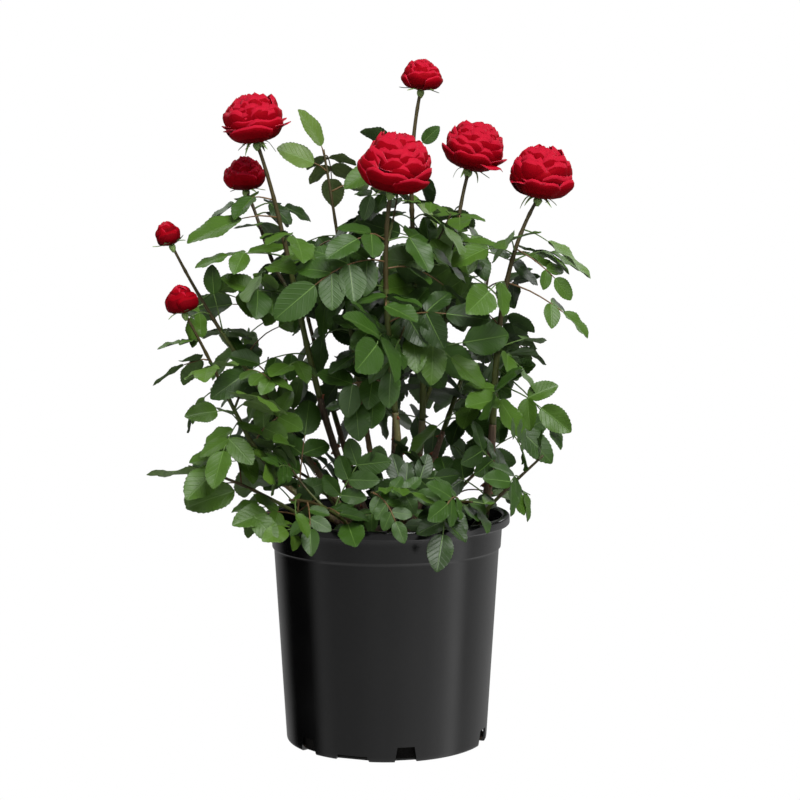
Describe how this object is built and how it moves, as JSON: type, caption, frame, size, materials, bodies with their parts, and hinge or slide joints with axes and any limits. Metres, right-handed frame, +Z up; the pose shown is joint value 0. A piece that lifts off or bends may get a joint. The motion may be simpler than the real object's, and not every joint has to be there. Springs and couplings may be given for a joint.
{
  "type": "rose bush",
  "caption": "Upright rose bush in a round black nursery pot, with woody canes, pinnate leaves in masses and full red blooms at the shoot tips.",
  "frame": {"origin": "centre of the pot's flat underside", "axes": "+Z up the plant, -Y its front, with the full bloom on the lowest front cane, +X to the front view's right"},
  "size_m": [0.5077, 0.4736, 0.7728],
  "materials": {
    "pot": "semi-gloss black moulded plastic",
    "soil": "moist dark bark and peat crumbs",
    "bark": "rough brown bark",
    "cane": "smooth olive bark with fine relief and prickles",
    "petal": "velvety deep red petals",
    "leaf": "semi-gloss mid-green leaves, paler below"
  },
  "bodies": {
    "root": {"pot": "pot", "soil": "soil", "crown": "bark", "cane_front": "cane", "cane_right": "cane", "cane_centre": "cane", "cane_left_middle": "cane", "cane_spire": "cane", "cane_left_low": "cane", "cane_left_high": "cane", "cane_back_left": "cane", "cane_back_right": "cane", "cane_back": "cane", "bloom_front": "petal", "bloom_right": "petal", "bloom_centre": "petal", "bloom_centre_fork": "petal", "bloom_left_middle": "petal", "bloom_left_middle_fork": "petal", "bloom_left_low": "petal", "bloom_left_high": "petal", "foliage_front": "leaf", "foliage_right": "leaf", "foliage_centre": "leaf", "foliage_left_middle": "leaf", "foliage_spire": "leaf", "foliage_left_low": "leaf", "foliage_left_high": "leaf", "foliage_back_left": "leaf", "foliage_back_right": "leaf", "foliage_back": "leaf", "foliage_low_left": "leaf", "foliage_low_right": "leaf", "foliage_low_front_left": "leaf", "foliage_low_front_right": "leaf", "foliage_low_front": "leaf", "foliage_low_back_left": "leaf", "foliage_low_back_right": "leaf"}
  },
  "joints": []
}
